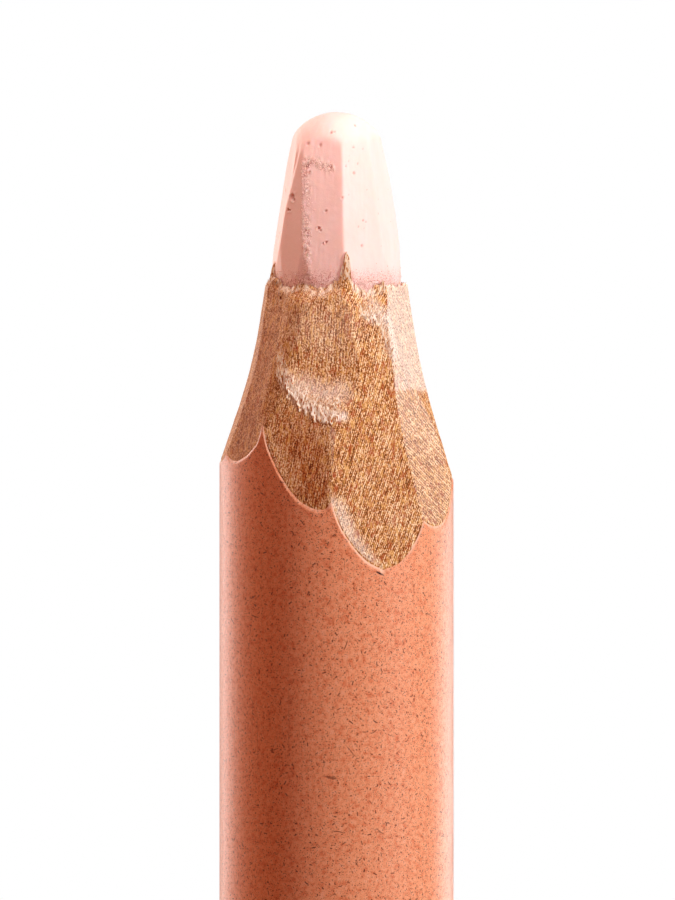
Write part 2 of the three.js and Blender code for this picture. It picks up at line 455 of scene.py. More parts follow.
for line, count in ((CRUMBLE_RIDGE, BAND_CRUMBS), (CRUMBLE_PATCH, BAND_CRUMBS // 3)):
    for _ in range(count):
        azimuth, depth_below = random_stop(line)
        azimuth += random.normal(0, BAND_SPREAD_DEGREES)
        depth_below += random.normal(0, BAND_SPREAD)
        add_crumb(azimuth, depth_below, random.uniform(*CRUMB_SIZES), random.choice([0.0, 0.0, 0.5, 1.0]))
for _ in range(FOOT_CRUMBS):
    add_crumb(random.uniform(-180, 180), CORE_LINE - abs(random.normal(0, FOOT_SPREAD)),
              random.uniform(*CRUMB_SIZES), random.choice([0.0, 1.0]))
crumb_points = np.concatenate(crumb_points)
crumbs_piece = make_piece(
    "crumbs_of_pigment", crumb_points, crumb_faces, None,
    {"crumble": np.full(len(crumb_points), CRUMB_CRUMBLE), "pit": np.zeros(len(crumb_points)),
     "dust": np.repeat(crumb_dust, len(LUMP))},
)

# %% [markdown]
# ## The wooden casing
# Two slats of pencil wood are glued round the core. Each half is built from columns. A column goes up
# the barrel, along the knife's cut to the core, and down the groove. Its rows are spread between the
# lacquer's edge and the core, so both edges stay crisp however they wander.

# %% Casing grid
CASING_COLUMNS = 270
CUT_ROWS = 170
COLLAR_ROWS = 40
COLLAR = 0.7
EDGE_MARGIN = 0.006
COLLAR_LINE = [
    (-90, 5.8), (-76, 5.75), (-72, 5.0), (-64, 5.1), (-60, 5.75), (-40, 5.85), (-20, 5.95), (2, 5.8),
    (5, 5.3), (12, 5.4), (14, 5.9), (30, 5.95), (60, 5.9), (90, 5.9), (180, 5.6), (270, 5.8),
]

half_turn = math.pi / 2 - math.asin(seam_gap / 2 / groove_radius)


def casing_grid(rays, middle):
    """Azimuths, heights and radii of the cut face of one casing half, as grids of column and row."""
    azimuths = middle + np.linspace(-half_turn, half_turn, CASING_COLUMNS)
    heights = []
    radii = []
    for azimuth in azimuths:
        edge = height_from_above(rays, azimuth, casing_radius - EDGE_MARGIN)
        top = height_from_above(rays, azimuth, groove_radius + EDGE_MARGIN)
        top = min(top, stub_length - np.interp(math.degrees(azimuth), *zip(*COLLAR_LINE)))
        rows = np.concatenate([
            np.linspace(edge, top - COLLAR, CUT_ROWS, endpoint=False),
            np.linspace(top - COLLAR, top - EDGE_MARGIN, COLLAR_ROWS),
        ])
        heights.append(rows)
        radii.append([radius_from_outside(rays, azimuth, h) for h in rows])
    return azimuths, np.array(heights), np.array(radii)


casing_grids = {
    "front": casing_grid(front_rays, 0),
    "back": casing_grid(back_rays, math.pi),
}
print("casing grid", casing_grids["front"][1].shape)

# %% [markdown]
# Wood doesn't cut like plastic. Along the grain it peels in fibres, and where a chip broke out it leaves
# a ledge of torn, pale fibre ends. The lines below are the ledges and ragged edges, given by their
# azimuth and depth. A function below tells how torn the wood is near a ledge and how far the ledge
# stands up. Another wears one ridge round.

# %% Ledges and worn ridges
GRAIN_AZIMUTH = math.radians(48)
# A line of azimuths and depths, how far the torn wood reaches up from it, and how high its edge stands.
LEDGES = [
    ([(-39, 8.6), (-36, 9.05), (-30, 9.6), (-22, 10.1), (-13, 10.45), (-5, 10.6), (2, 10.5)], 1.1, 0.025),
    ([(20, 7.0), (30, 7.2), (37, 7.55), (41, 8.3), (43, 9.3)], 0.4, 0.02),
    ([(170, 8.7), (186, 9.1), (200, 8.8)], 0.7, 0.035),
]
WORN_RIDGES = [[(-30, 6.0), (-32, 7.4), (-36, 8.6), (-41, 10.0)]]
RIDGE_REACH = 14
RIDGE_WORN_WIDTH = 0.9
LEDGE_RAGGED = 0.17
WOOD_SEED = 41


def on_casing(azimuth, below):
    """The place on the casing at an azimuth in degrees and a depth below the tip."""
    return place_on(front_rays if math.cos(math.radians(azimuth)) > 0 else back_rays, azimuth, below)


def grain_axes(points):
    """Points turned so that the first axis crosses the growth layers and the third runs along the grain."""
    across = points[..., 0] * math.sin(GRAIN_AZIMUTH) - points[..., 1] * math.cos(GRAIN_AZIMUTH)
    along_layer = points[..., 0] * math.cos(GRAIN_AZIMUTH) + points[..., 1] * math.sin(GRAIN_AZIMUTH)
    return np.stack([across, along_layer, points[..., 2]], axis=-1)


def wood_noise(points, cell, number):
    """Noise along the grain. Each number gives another one."""
    return lattice_noise(grain_axes(points), cell, WOOD_SEED + number)


def torn_ledges(points, azimuths, below, ragged):
    """How torn the cut face is close to the ledges, and how far they stand up in millimetres."""
    degrees = np.degrees(azimuths)
    peeled = smooth_step(-0.5, 0.2, wood_noise(points, (0.06, 0.06, 0.4), 9))
    torn = np.zeros(below.shape)
    raised = np.zeros(below.shape)
    for line, reach, rise in LEDGES:
        stops = np.array(line, float)
        edge = np.interp(degrees, stops[:, 0], stops[:, 1])[:, None]
        inside = smooth_step(-2, 2, np.minimum(degrees - stops[0, 0], stops[-1, 0] - degrees))[:, None]
        above = edge + LEDGE_RAGGED * ragged - below
        under = smooth_step(-0.05, 0.0, above) * inside
        frayed = smooth_step(reach, 0.1, above + 0.3 * ragged)
        torn = np.maximum(torn, under * frayed * (frayed + (1 - frayed) * peeled))
        raised = np.maximum(raised, rise * under * np.exp(-np.maximum(above, 0) / (0.45 * reach)))
    return torn, raised


def worn_ridges(points, heights, radii):
    """How far the worn ridges stand up or lie lower than the cut, in millimetres."""
    smoothed = np.zeros(radii.shape)
    for column in range(len(radii)):
        beside = range(max(column - RIDGE_REACH, 0), min(column + RIDGE_REACH + 1, len(radii)), 2)
        near = [np.interp(heights[column], heights[k], radii[k]) for k in beside]
        smoothed[column] = np.mean(near, axis=0)
    worn = [near_line(points, [on_casing(*p) for p in line], RIDGE_WORN_WIDTH) for line in WORN_RIDGES]
    return sum(worn) * (smoothed - radii)


print(f"ledges: {len(LEDGES)}, worn ridges: {len(WORN_RIDGES)}")

# %% [markdown]
# The material needs a tone for each place: above 0 where the wood is dusty or cut flat to the grain, so
# that it looks pale, and below 0 where it is worn and dark. Some tones follow from the way a facet faces,
# and the facets that face the lamps get a pale tone that is a painted highlight. The rest are lines given
# in a table, and later the small holes get a dark tone that is a painted shade.

# %% Tones of the cut wood
# A line of azimuths and depths, its width and its tone.
TONES = [
    ([(0, 13.4), (7, 14.5), (16, 15.4)], 0.5, 0.55),
    ([(28, 7.0), (36, 7.1)], 0.35, 0.8),
    ([(32, 6.6), (42, 7.2), (46, 8.2)], 0.45, 0.6),
    ([(-64, 7.6), (-60, 9.0), (-58, 10.6), (-60, 12.5)], 1.3, -0.4),
    ([(-20, 9.4), (-8, 9.7), (2, 9.6)], 0.7, 0.5),
    ([(-33, 9.1), (-20, 10.0), (-8, 10.35)], 0.4, 0.75),
    ([(-26, 7.2), (-8, 7.6), (6, 7.2)], 1.3, 0.12),
    ([(-6, 10.3), (4, 10.42)], 0.3, 1.0),
    ([(-3, 10.9), (-2.6, 12.0), (-2.2, 13.4)], 0.2, 0.35),
    ([(-24, 11.2), (-16, 11.6), (-12, 13.0)], 1.3, -0.7),
    ([(150, 9), (165, 11)], 1.2, -0.3),
    ([(230, 8), (240, 10)], 1.0, 0.4),
]
FLAT_CUT_PALE = 0.3
# First and last azimuth that a facet faces, the lowest depth that is pale, and the tone. These facets face
# the lamps, and their pale tone is a painted highlight.
LAMP_FACING_HIGHLIGHTS = [((38, 94), 9.55, 0.7), ((200, 225), 9.0, 0.4)]
COLLAR_PALE = 0.75


def cut_tone(points, below, ragged, collar):
    """The tone of the cut face: pale where it is cut flat to the grain, a painted highlight on the facets
    that face the lamps, and the lines of dust and wear.
    """
    facing = np.cross(np.gradient(points, axis=0), np.gradient(points, axis=1))
    flatness = np.abs(grain_axes(facing)[..., 0]) / np.linalg.norm(facing, axis=-1)
    tone = COLLAR_PALE * collar + FLAT_CUT_PALE * smooth_step(0.93, 0.97, flatness)
    turned = np.degrees(np.arctan2(facing[..., 0], -facing[..., 1])) % 360
    # A painted highlight on the upper parts of the facets that face the lamps.
    for (first, last), lowest, strength in LAMP_FACING_HIGHLIGHTS:
        within = smooth_step(first, first + 4, turned) * smooth_step(last, last - 4, turned)
        upper = smooth_step(lowest + 0.12, lowest - 0.12, below + 0.1 * ragged)
        tone = np.maximum(tone, strength * within * upper)
    for line, width, strength in TONES:
        tone = tone + strength * near_line(points, [on_casing(*p) for p in line], width)
    return tone


print(f"lines of tone: {len(TONES)}, pale facets: {len(LAMP_FACING_HIGHLIGHTS)}")

# %% [markdown]
# Now the parts come together. The relief is low and long along the grain on a clean cut, with faint
# chatter marks across it. It is high and ragged where the wood is torn, and a few small holes go in. It
# fades out at the lacquer's edge and at the groove, so that the pieces still meet there.

# %% Casing relief
# Azimuth, depth below the tip, width and depth of each hole.
HOLES = [(-52, 6.38, 0.13, 0.08), (-43, 6.9, 0.07, 0.04), (12, 6.5, 0.07, 0.04), (140, 7.4, 0.1, 0.06)]
# How dark the painted shade inside the holes is.
HOLE_PAINTED_SHADE = 3
COLLAR_TORN = 0.7
CLEAN_RELIEF = 0.006
CHATTER_RELIEF = 0.002
TORN_RELIEF = 0.042
TORN_LIFT = 0.01


def casing_relief(azimuths, heights, radii):
    """Relief in millimetres, the torn share and the tone of one casing half's cut face."""
    points = on_pencil(radii, azimuths[:, None], heights)
    below = stub_length - heights
    ragged = wood_noise(points, (0.08, 0.08, 0.4), 0)
    torn, raised = torn_ledges(points, azimuths, below, ragged)
    raised = raised + worn_ridges(points, heights, radii)
    broken = smooth_step(-0.5, 0.5, wood_noise(points, (0.15, 0.15, 0.3), 1))
    collar = smooth_step(0.45, 0.0, heights[:, -1:] - heights) * broken
    torn = np.clip(torn + COLLAR_TORN * collar, 0, 1)
    clean = wood_noise(points, (0.07, 0.16, 1.1), 2) + 0.5 * wood_noise(points, (0.045, 0.09, 0.35), 3)
    chatter = wood_noise(points, (0.9, 0.9, 0.22), 4)
    ends = wood_noise(points, (0.06, 0.06, 0.3), 5) + 0.6 * wood_noise(points, (0.05, 0.05, 0.12), 6)
    torn_relief = torn * (TORN_RELIEF * ends + TORN_LIFT)
    relief = CLEAN_RELIEF * clean + CHATTER_RELIEF * chatter + torn_relief + raised
    tone = cut_tone(points, below, ragged, collar)
    for azimuth, depth_below, across, deep in HOLES:
        away = away_from(points, on_casing(azimuth, depth_below), across)
        relief = relief - deep * smooth_step(1.1, 0.4, away)
        # Painted shade: the inside of each hole gets a dark tone.
        tone = tone - HOLE_PAINTED_SHADE * smooth_step(1.1, 0.5, away)
    at_edge = smooth_step(0, 0.15, heights - heights[:, :1])
    at_groove = smooth_step(0, 0.08, radii - groove_radius)
    return relief * at_edge * at_groove, torn, tone


casing_reliefs = {half: casing_relief(*grid) for half, grid in casing_grids.items()}
print("torn share of the front half:", round(float(casing_reliefs["front"][1].mean()), 3))

# %% [markdown]
# The collar, where the wood ends at the core, isn't a clean line either. Its fibres broke off at
# different heights, so the rows near the top of each column are lifted or lowered by a noise with narrow
# cells.

# %% Casing meshes
COLLAR_RAGGED = 0.07
END_STEP = 0.05


def casing_half(side, replaced):
    """One slat of the casing: barrel, cut face, collar, groove and sawn end."""
    azimuths, heights, radii = casing_grids[side]
    relief, torn, tone = casing_reliefs[side]
    top_points = on_pencil(radii[:, -1], azimuths, heights[:, -1])
    ragged = lattice_noise(top_points, (0.07, 0.07, 5), WOOD_SEED + 7) + 0.7 * lattice_noise(
        top_points, (0.25, 0.25, 5), WOOD_SEED + 8)
    near_core = smooth_step(0.5, 0.0, heights[:, -1:] - heights)
    heights = heights + COLLAR_RAGGED * ragged[:, None] * near_core
    radii = radii + relief
    columns = []
    for azimuth, z, r in zip(azimuths, heights, radii):
        outer = on_pencil(casing_radius, azimuth, np.array([0, z[0] / 2, z[0] - END_STEP]))
        inner = on_pencil(groove_radius, azimuth, np.array([z[-1] - END_STEP, z[0] / 2, 0]))
        columns.append(np.concatenate([outer, on_pencil(r, azimuth, z), inner]))
    for column in (columns[0], columns[-1]):
        column[:, 1] = np.sign(column[:, 1]) * seam_gap / 2
    hidden = ((0, 0), (len(outer), len(inner)))
    return make_piece(
        f"casing_half_{side}_whittled",
        np.concatenate(columns),
        loop_faces(len(columns), len(columns[0]), closed=False),
        replaced,
        {"torn": np.pad(torn, hidden), "tone": np.pad(tone, hidden)},
    )


casing_front = casing_half("front", "casing_half_front")
casing_back = casing_half("back", "casing_half_back")

# %% [markdown]
# ## The lacquer coat
# The lacquer is only 0.04 mm thick, so what shows of its thickness is the slanting cut edge, a pale lip
# round every scallop. Fifteen hundred narrow columns let the lip wander and chip as brittle lacquer does.
# Two tongues of thin lacquer reach further up than the cut.

# %% Lip of the lacquer
LACQUER_COLUMNS = 1500
LIP_WANDER = 0.018
LACQUER_SEED = 71
# Azimuth, depth below the tip, reach and depth of each nick, and azimuth, rise and spread of each tongue.
NICKS = [
    (23.5, 15.72, 0.16, 0.10), (82, 12.75, 0.12, 0.08), (-20, 13.5, 0.09, 0.04), (210, 15.4, 0.14, 0.07),
]
TONGUES = [(-39.6, 0.34, 1.8), (-2.4, 0.2, 2.0)]

lacquer_azimuths = full_turn(LACQUER_COLUMNS)


def lip_heights(radius):
    """Height of the lacquer's cut edge at a radius, for each column."""
    return np.array([height_from_above(lacquer_rays, a, radius) for a in lacquer_azimuths])


def lip_noise(cell, number):
    """Noise along the lip. Each number gives another one."""
    return lattice_noise(lip_points, cell, LACQUER_SEED + number)


lip_outer = lip_heights(barrel_radius - EDGE_MARGIN)
lip_inner = lip_heights(lacquer_bore + EDGE_MARGIN)
lip_points = on_pencil(barrel_radius, lacquer_azimuths, lip_outer)
lip_drop = LIP_WANDER * (lip_noise(0.05, 0) + lip_noise(0.2, 1))
for azimuth, depth_below, across, deep in NICKS:
    spot = on_pencil(barrel_radius, math.radians(azimuth), stub_length - depth_below)
    away = np.linalg.norm(lip_points - spot, axis=-1)
    lip_drop = lip_drop - deep * smooth_step(across, across / 3, away)
for azimuth, rise, spread in TONGUES:
    away = (np.degrees(lacquer_azimuths) - azimuth + 180) % 360 - 180
    tongue = rise * np.exp(-(away / spread) ** 2)
    lip_outer = lip_outer + 0.5 * tongue
    lip_inner = lip_inner + tongue
lip_outer = lip_outer + lip_drop
lip_inner = lip_inner + 0.5 * lip_drop
lip_pale = smooth_step(-0.9, 0.4, lip_noise((0.5, 0.5, 0.8), 3) + 0.6 * lip_noise(0.05, 2))
print(f"lip from {lip_outer.min():.2f} to {lip_outer.max():.2f} mm above the foot")

# %% Lacquer mesh
BODY_SHARES = np.concatenate([[0, 0.25, 0.5, 0.7, 0.82], np.linspace(0.88, 0.999, 14)])
LIP_SHARES = ((0.0, 0.1), (0.12, 0.2), (0.3, 0.45), (0.55, 0.9), (0.8, 1.0), (1.0, 1.0))
LIP_BELOW = 0.03
BORE_STEP = 0.3

lacquer_foot = lacquer_low[2]
lacquer_rows = []
lip_marks = []


def add_row(radius, height, pale=0.0):
    """Adds one row round the coat, with how pale its lip is."""
    lacquer_rows.append(on_pencil(radius, lacquer_azimuths, height))
    lip_marks.append(lip_pale * pale)


for part in BODY_SHARES:
    add_row(barrel_radius, lacquer_foot + part * (lip_outer - LIP_BELOW - lacquer_foot))
for part, pale in LIP_SHARES:
    radius = barrel_radius + part * (lacquer_bore - barrel_radius)
    add_row(radius, lip_outer + part * (lip_inner - lip_outer), pale)
add_row(lacquer_bore, lip_inner - BORE_STEP)
add_row(lacquer_bore, lacquer_foot)
lacquer_points = np.stack(lacquer_rows, axis=1)
coat = make_piece(
    "coat_of_lacquer",
    lacquer_points.reshape(-1, 3),
    loop_faces(LACQUER_COLUMNS, len(lacquer_rows), closed=True),
    "lacquer_coat",
    {"lip": np.stack(lip_marks, axis=1)},
)

# %% [markdown]
# ## Torn fibres
# The brightest details on the cut wood are single fibres that stand up along the ledges and the collar.
# Relief can't make them, because a relief has no overhang. Each fibre here is a thin, bent, tapered
# spike with four sides. It is rooted a little way inside the wood, so that no fibre floats.

# %% Shape of a fibre
FIBRE_SIDES = 4
FIBRE_STEPS = 4
FLATTENED = 0.55

rings = np.arange(FIBRE_STEPS * FIBRE_SIDES).reshape(FIBRE_STEPS, FIBRE_SIDES)
fibre_shape = [rings[0, ::-1].tolist()]
for low, high in zip(rings[:-1], rings[1:]):
    fibre_shape += np.stack([low, np.roll(low, -1), np.roll(high, -1), high], axis=1).tolist()
fibre_shape += [[a, b, rings.size] for a, b in zip(rings[-1].tolist(), np.roll(rings[-1], -1).tolist())]


def fibre(root, towards, bend, length, width, taper):
    """Points of one tapered fibre from its root."""
    side = np.cross(towards, [0.3, 0.5, 0.8])
    side = side / np.linalg.norm(side)
    other = np.cross(towards, side)
    points = []
    for step in range(FIBRE_STEPS):
        t = step / FIBRE_STEPS
        middle = root + length * (t * towards + t * t * bend)
        half = width / 2 * (1 - t) ** taper
        for k in range(FIBRE_SIDES):
            turn = 2 * math.pi * k / FIBRE_SIDES
            points.append(middle + half * (math.cos(turn) * side + FLATTENED * math.sin(turn) * other))
    points.append(root + length * (towards + bend))
    return points


print(f"a fibre has {rings.size + 1} points and {len(fibre_shape)} faces")

# %% Roots of the fibres
FIBRE_SEED = 97
STIFF_FROM = 0.03
FIBRE_INSET = 0.02
SIDE_LEAN = 0.22
SIDE_BEND = 0.16
OUT_BEND = (-0.05, 0.2)


def surface_at(azimuth, height):
    """The point of the cut face's grid nearest to an azimuth in radians and a height."""
    side = "front" if math.cos(azimuth) > 0 else "back"
    azimuths, heights, radii = casing_grids[side]
    turn = azimuth if side == "front" else azimuth % (2 * math.pi)
    column = int(np.rint(np.interp(turn, azimuths, np.arange(len(azimuths)))))
    row = int(np.argmin(np.abs(heights[column] - height)))
    return on_pencil(radii[column, row], azimuths[column], heights[column, row])


random = np.random.default_rng(FIBRE_SEED)
fibre_points = []
fibre_faces = []
fibre_torn = []


def add_fibre(azimuth, height, length, width, lean, sink=0.03, torn=1.0, taper=0.6):
    """Roots one fibre in the cut face, leaning outwards by lean."""
    root = surface_at(azimuth, height)
    out = np.array([math.sin(azimuth), -math.cos(azimuth), 0])
    round_about = np.array([math.cos(azimuth), math.sin(azimuth), 0])
    limp = min(1, STIFF_FROM / width)
    towards = np.array([0, 0, 1]) + lean * out + random.normal(0, SIDE_LEAN) * round_about * limp
    towards = towards / np.linalg.norm(towards)
    bend = (random.normal(0, SIDE_BEND) * round_about + random.uniform(*OUT_BEND) * out) * limp
    points = fibre(root - FIBRE_INSET * out - sink * towards, towards, bend, length, width, taper)
    start = len(fibre_points)
    fibre_points.extend(points)
    fibre_torn.extend([torn] * len(points))
    fibre_faces.extend(tuple(start + i for i in face) for face in fibre_shape)


# %% Fibres on the wood
# Azimuth, depth below the tip, length, width and lean of each splinter.
SPLINTERS = [(8.5, 5.5, 0.95, 0.42, -0.03), (-74, 5.75, 0.9, 0.26, -0.16), (43.5, 5.95, 0.46, 0.2, 0.05)]
SPLINTER_SINK = 0.25
SPLINTER_TORN = 0.6
SPLINTER_TAPER = 0.3
FUZZ = [[(-1.5, 13.45), (3, 14.2), (9, 14.95), (16, 15.5)], [(-41, 10.9), (-38, 11.7), (-30, 12.8)]]
FIBRES_PER_STOP = 45
FIBRES_PER_FUZZ = 90
COLLAR_FIBRES = 480
ASIDE_DEGREES = 1.5


def along_line(line, count, wander):
    """Random azimuths in radians and heights along a line, each aside from it by about wander."""
    for _ in range(count):
        azimuth, below = random_stop(line)
        azimuth += random.normal(0, ASIDE_DEGREES)
        yield math.radians(azimuth), stub_length - below - random.normal(0, wander)


for azimuth, below, length, width, lean in SPLINTERS:
    add_fibre(math.radians(azimuth), stub_length - below, length, width, lean,
              SPLINTER_SINK, SPLINTER_TORN, SPLINTER_TAPER)
for line, _, _ in LEDGES:
    for azimuth, height in along_line(line, FIBRES_PER_STOP * len(line), 0.1):
        add_fibre(azimuth, height + abs(random.normal(0.1, 0.3)), random.uniform(0.1, 0.35),
                  random.uniform(0.015, 0.04), random.uniform(0.05, 0.5))
for line in FUZZ:
    for azimuth, height in along_line(line, FIBRES_PER_FUZZ, 0.06):
        add_fibre(azimuth, height, random.uniform(0.06, 0.2),
                  random.uniform(0.012, 0.03), random.uniform(0, 0.4))
for _ in range(COLLAR_FIBRES):
    azimuth = random.uniform(-math.pi / 2, 3 * math.pi / 2)
    azimuths, heights, _ = casing_grids["front" if azimuth < math.pi / 2 else "back"]
    top = np.interp(azimuth, azimuths, heights[:, -1])
    add_fibre(azimuth, top - random.uniform(0.0, 0.3), random.uniform(0.06, 0.22),
              random.uniform(0.015, 0.05), random.uniform(-0.1, 0.25))
fibres = make_piece(
    "torn_fibres", np.array(fibre_points), fibre_faces, None,
    {"torn": fibre_torn, "tone": np.zeros(len(fibre_points))},
)

# %% [markdown]
# ## Colours and nodes
# Colours are written as sRGB hex values, as a designer would read them from a swatch. Shaders need linear
# light, so one function converts them, and another adds a node with its settings and links. The short
# ones after it add the kinds of node that every material here is made of: a noise with cells of a real
# size, a share between two levels, a blend of two colours, and a sum.

# %% Material helpers


def linear(hex_colour):
    """A linear RGBA colour from an sRGB hex value."""
    parts = [int(hex_colour[k:k + 2], 16) / 255 for k in (1, 3, 5)]
    return tuple(c / 12.92 if c <= 0.04045 else ((c + 0.055) / 1.055) ** 2.4 for c in parts) + (1.0,)


def set_inputs(node, inputs):
    """Sets a node's inputs to values, or links them to sockets."""
    for name, value in inputs.items():
        if isinstance(value, bpy.types.NodeSocket):
            node.id_data.links.new(value, node.inputs[name])
        else:
            node.inputs[name].default_value = value


def add_node(tree, kind, inputs=None, stops=None, **settings):
    """Adds a node. inputs are values or links, and stops are the colours of a ramp."""
    node = tree.nodes.new(kind)
    for name, value in settings.items():
        setattr(node, name, value)
    set_inputs(node, inputs or {})
    for k, (position, colour) in enumerate(stops or []):
        ramp = node.color_ramp.elements
        point = ramp[k] if k < 2 else ramp.new(position)
        point.position = position
        point.color = colour
    return node


# %% Short ways to add nodes


def in_units(place, size, turn=(0, 0, 0), start=(0, 0, 0)):
    """Coordinates from a start, turned back, and in units of a size. Both are in millimetres."""
    return add_node(place.id_data, "ShaderNodeMapping", {
        "Vector": place, "Location": [v * MM for v in start], "Rotation": turn,
        "Scale": [v * MM for v in size]}, vector_type="TEXTURE").outputs[0]


def noise(place, size, detail, **settings):
    """Noise from 0 to 1 with cells of a size in millimetres."""
    return add_node(place.id_data, "ShaderNodeTexNoise", {
        "Vector": in_units(place, size), "Scale": 1.0, "Detail": detail}, **settings).outputs["Fac"]


def between(value, low, high, most=1.0, least=0.0, **settings):
    """A share that goes from least to most while the value goes from low to high."""
    return add_node(value.id_data, "ShaderNodeMapRange", {
        "Value": value, "From Min": low, "From Max": high, "To Min": least, "To Max": most},
        **settings).outputs[0]


def blend(part, colour, other, kind="MIX"):
    """A colour with a part of another one blended in."""
    return add_node(part.id_data, "ShaderNodeMix", {
        "Factor": part, 6: colour, 7: other}, data_type="RGBA", blend_type=kind).outputs[2]


def compute(operation, *values, **settings):
    """The result of a sum. The first of its values is a socket."""
    return add_node(values[0].id_data, "ShaderNodeMath", dict(enumerate(values)),
                    operation=operation, **settings).outputs[0]


def mark(tree, name):
    """The numbers that a mesh stores under a name."""
    return add_node(tree, "ShaderNodeAttribute", attribute_name=name).outputs["Fac"]


# %% New materials and paint


def new_material(name):
    """A material with an empty node tree, its shader and its object coordinates."""
    material = bpy.data.materials.new(name)
    material.use_nodes = True
    tree = material.node_tree
    tree.nodes.clear()
    shader = add_node(tree, "ShaderNodeBsdfPrincipled")
    add_node(tree, "ShaderNodeOutputMaterial", {"Surface": shader.outputs["BSDF"]})
    place = add_node(tree, "ShaderNodeTexCoord").outputs["Object"]
    return material, tree, shader, place


def paint(pieces, material, shader, sockets, height, depth, strength):
    """Finishes a material with a bump of a depth in millimetres, and gives it to the pieces."""
    normal = add_node(shader.id_data, "ShaderNodeBump", {
        "Strength": strength, "Distance": depth * MM, "Height": height}).outputs[0]
    set_inputs(shader, {"Normal": normal, **sockets})
    for piece in pieces:
        piece.data.materials.append(material)
    print(f"{material.name}: {len(shader.id_data.nodes)} nodes")


# %% [markdown]
# ## Pencil wood
# Pencil slats are a straight-grained softwood. A knife cut opens rows of hollow cells about 0.03 mm wide.
# Where the cut meets a growth layer at a flat angle, the rows show as fine broken lines. A noise with
# cells that are thin across the layers and long along them draws the same lines, and because it is read
# in space, each facet gets its own slant of grain without being told. Some bundles of fibres are redder
# and some streaks more golden. Torn ends are nearly white, and dusty or worn places follow the tone that
# is stored on the mesh. That tone also paints a highlight on the facets that face the lamps and a shade
# in the small holes.

# %% Pencil wood material
WOOD_DARK = linear("#6c3816")
WOOD_MID = linear("#cd8749")
WOOD_PALE = linear("#f9e2bc")
WOOD_RED = linear("#a5451a")
WOOD_TORN = linear("#fdf2de")
WOOD_GOLD = linear("#dba457")
WOOD_POWDER_AND_HIGHLIGHT = linear("#faf0e4")
WOOD_WORN_AND_SHADE = linear("#c48a60")
CELL_ROW = 0.031
ROW_PAIR = 0.068
WAVE_LENGTH = math.pi / 10
CELL_MOUTH = (0.042, 0.042, 0.062)
FIBRE_BUNDLE = (0.06, 0.25, 0.4)
FRAYED_FIBRE = (0.05, 0.05, 0.24)
FIBRE_STREAK = (0.09, 0.09, 0.3)
GROWTH_LAYER = (0.13, 0.4, 0.3)
GROWTH_PATCH = (0.35, 0.9, 1.6)
ROW_WEIGHT = 0.2
PAIR_WEIGHT = 0.14
STREAK_WEIGHT = 0.18
LAYER_WEIGHT = 0.3
PATCH_WEIGHT = 0.2
DARKEST_GRAIN = 0.815
PALEST_GRAIN = 1.225

wood, tree, shader, place = new_material("softwood_knife_cut")
grain_place = in_units(place, (1 / MM,) * 3, (0, 0, GRAIN_AZIMUTH - math.pi / 2))


def cell_rows(apart, lengths, bend, detail_scale, detail_roughness):
    """Wavy rows of cells that lie this far apart."""
    return add_node(tree, "ShaderNodeTexWave", {
        "Vector": in_units(grain_place, (apart / WAVE_LENGTH, *lengths)), "Scale": 1.0, "Distortion": bend,
        "Detail": 2.0, "Detail Scale": detail_scale, "Detail Roughness": detail_roughness}).outputs["Fac"]


rows = cell_rows(CELL_ROW, (0.3, 0.8), 4.0, 1.0, 0.5)
pairs = cell_rows(ROW_PAIR, (0.25, 0.6), 5.0, 1.5, 0.6)
mouths = noise(grain_place, CELL_MOUTH, 1.0)
bundles = noise(grain_place, FIBRE_BUNDLE, 2.0)
streaks = noise(grain_place, FIBRE_STREAK, 1.0)
layers = noise(grain_place, GROWTH_LAYER, 2.0)
patches = noise(grain_place, GROWTH_PATCH, 2.0)
row_relief = compute("MULTIPLY_ADD", rows, ROW_WEIGHT, mouths)
grain = row_relief
for part, weight in (
        (pairs, PAIR_WEIGHT), (streaks, STREAK_WEIGHT), (layers, LAYER_WEIGHT), (patches, PATCH_WEIGHT)):
    grain = compute("MULTIPLY_ADD", part, weight, grain)
grain_share = between(grain, DARKEST_GRAIN, PALEST_GRAIN)
colour = add_node(tree, "ShaderNodeValToRGB", {"Fac": grain_share}, stops=[
    (0.1, WOOD_DARK), (0.95, WOOD_PALE), (0.5, WOOD_MID)]).outputs["Color"]
colour = blend(between(bundles, 0.53, 0.68, 0.75), colour, WOOD_RED)
colour = blend(between(streaks, 0.53, 0.68, 0.6), colour, WOOD_GOLD)
print(f"grain of the wood: {len(tree.nodes)} nodes")

# %% Torn, pale and worn wood, with painted highlight and painted shade
torn_share = between(mark(tree, "torn"), 0.1, 0.8, 0.95)
frays = between(noise(grain_place, FRAYED_FIBRE, 2.0), 0.38, 0.6)
fray_colour = add_node(tree, "ShaderNodeValToRGB", {"Fac": frays}, stops=[
    (0.0, WOOD_RED), (0.58, WOOD_TORN), (0.26, WOOD_GOLD)]).outputs["Color"]
colour = blend(torn_share, colour, fray_colour)
tone_mark = mark(tree, "tone")
speckle = between(mouths, 0.36, 0.54, least=0.4)
pale_grain = add_node(tree, "ShaderNodeMix", {
    "Factor": torn_share, 2: speckle, 3: frays}, data_type="FLOAT").outputs[0]
pale_share = compute("MULTIPLY", between(tone_mark, 0.0, 1.0, 0.85), pale_grain)
# Every pale tone blends in this colour: dust, flat cuts, and the painted highlight on the facets that face
# the lamps.
colour = blend(pale_share, colour, WOOD_POWDER_AND_HIGHLIGHT)
# Dark tones come from worn wood, and from the painted shade in the holes.
worn_and_shade_grain = between(bundles, 0.62, 0.38, 2.0)
worn_and_shade_share = compute("MULTIPLY", between(tone_mark, 0.0, -1.0, 0.9), worn_and_shade_grain, use_clamp=True)
colour = blend(worn_and_shade_share, colour, WOOD_WORN_AND_SHADE, "MULTIPLY")
paint([casing_front, casing_back, fibres], wood, shader, {
    "Base Color": colour, "Roughness": 0.75, "IOR": 1.45, "Specular IOR Level": 0.15,
}, height=row_relief, depth=0.012, strength=0.7)

